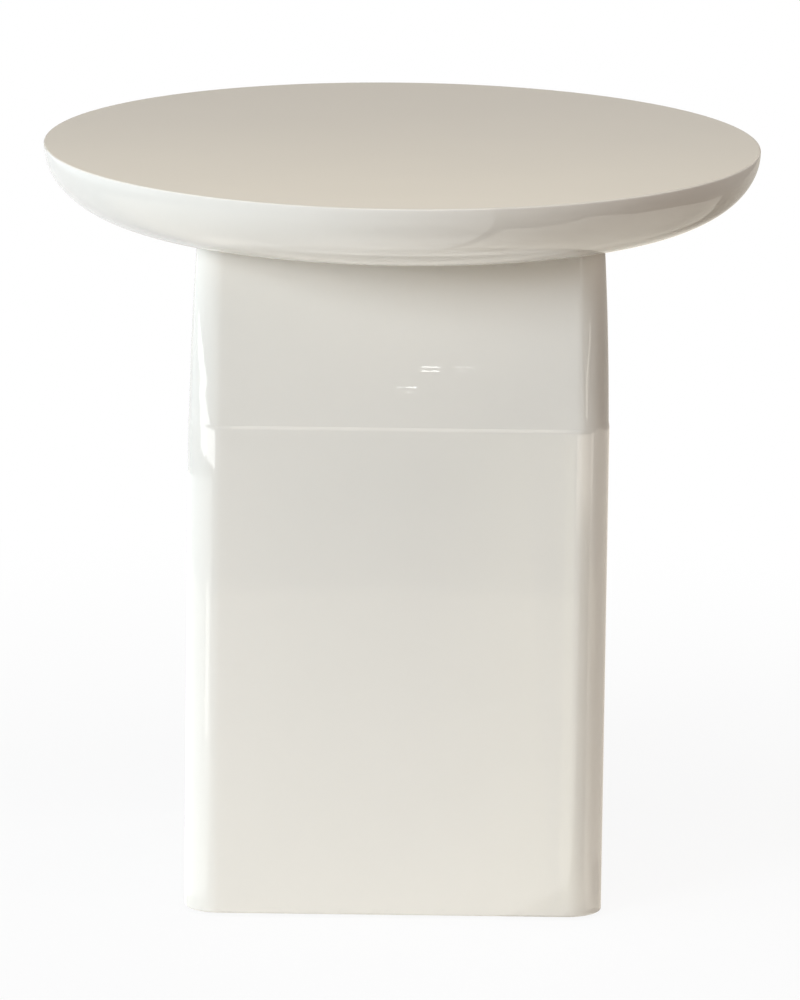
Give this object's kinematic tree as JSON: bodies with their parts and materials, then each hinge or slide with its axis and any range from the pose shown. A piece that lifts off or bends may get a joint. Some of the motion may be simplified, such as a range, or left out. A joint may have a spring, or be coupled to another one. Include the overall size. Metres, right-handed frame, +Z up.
{
  "type": "side table",
  "caption": "Round side table: a bowl-edged top on a rounded-square lacquered column that curves in above a joint line, standing on recessed levelling glides.",
  "frame": {"origin": "on the floor, under the middle of the column", "axes": "+Z up, front face towards -Y, +X to the right of someone facing the front"},
  "size_m": [0.4999, 0.5, 0.52],
  "materials": {
    "cream_lacquer": "high-gloss cream lacquer on fibreboard",
    "birch_plywood": "bare sanded birch plywood",
    "beech": "bare planed beech",
    "primed_mdf": "sealed fibreboard, matt",
    "zinc_steel": "bright zinc plate",
    "brass": "turned",
    "nylon": "moulded, satin"
  },
  "bodies": {
    "table": {"base_cleat_back": "beech", "base_cleat_front": "beech", "base_cleat_left": "beech", "base_cleat_right": "beech", "base_plate": "primed_mdf", "base_plate_screws": "zinc_steel", "cleat_screws": "zinc_steel", "corner_post_back_left": "cream_lacquer", "corner_post_back_right": "cream_lacquer", "corner_post_front_left": "cream_lacquer", "corner_post_front_right": "cream_lacquer", "head_plate": "birch_plywood", "head_plate_screws": "zinc_steel", "joint_dowels": "beech", "leveller_tee_nuts": "zinc_steel", "liner_back": "birch_plywood", "liner_front": "birch_plywood", "liner_left": "birch_plywood", "liner_right": "birch_plywood", "liner_screws": "zinc_steel", "panel_back": "cream_lacquer", "panel_front": "cream_lacquer", "panel_left": "cream_lacquer", "panel_right": "cream_lacquer", "panel_splines": "birch_plywood", "shoulder_back": "cream_lacquer", "shoulder_corner_back_left": "cream_lacquer", "shoulder_corner_back_right": "cream_lacquer", "shoulder_corner_front_left": "cream_lacquer", "shoulder_corner_front_right": "cream_lacquer", "shoulder_front": "cream_lacquer", "shoulder_left": "cream_lacquer", "shoulder_right": "cream_lacquer", "shoulder_splines": "birch_plywood", "top_board": "cream_lacquer", "top_bolts": "zinc_steel", "top_inserts": "brass", "top_underlayer": "cream_lacquer", "top_washers": "zinc_steel"},
    "glide_front_right": {"leveller_pad_front_right": "nylon", "leveller_stud_front_right": "zinc_steel"},
    "glide_back_right": {"leveller_pad_back_right": "nylon", "leveller_stud_back_right": "zinc_steel"},
    "glide_back_left": {"leveller_pad_back_left": "nylon", "leveller_stud_back_left": "zinc_steel"},
    "glide_front_left": {"leveller_pad_front_left": "nylon", "leveller_stud_front_left": "zinc_steel"}
  },
  "joints": [
    {"name": "glide_front_right_travel", "type": "slide", "parent": "table", "child": "glide_front_right", "axis": [0, 0, -1], "range_m": [0, 0.008]},
    {"name": "glide_back_right_travel", "type": "slide", "parent": "table", "child": "glide_back_right", "axis": [0, 0, -1], "range_m": [0, 0.008]},
    {"name": "glide_back_left_travel", "type": "slide", "parent": "table", "child": "glide_back_left", "axis": [0, 0, -1], "range_m": [0, 0.008]},
    {"name": "glide_front_left_travel", "type": "slide", "parent": "table", "child": "glide_front_left", "axis": [0, 0, -1], "range_m": [0, 0.008]}
  ]
}
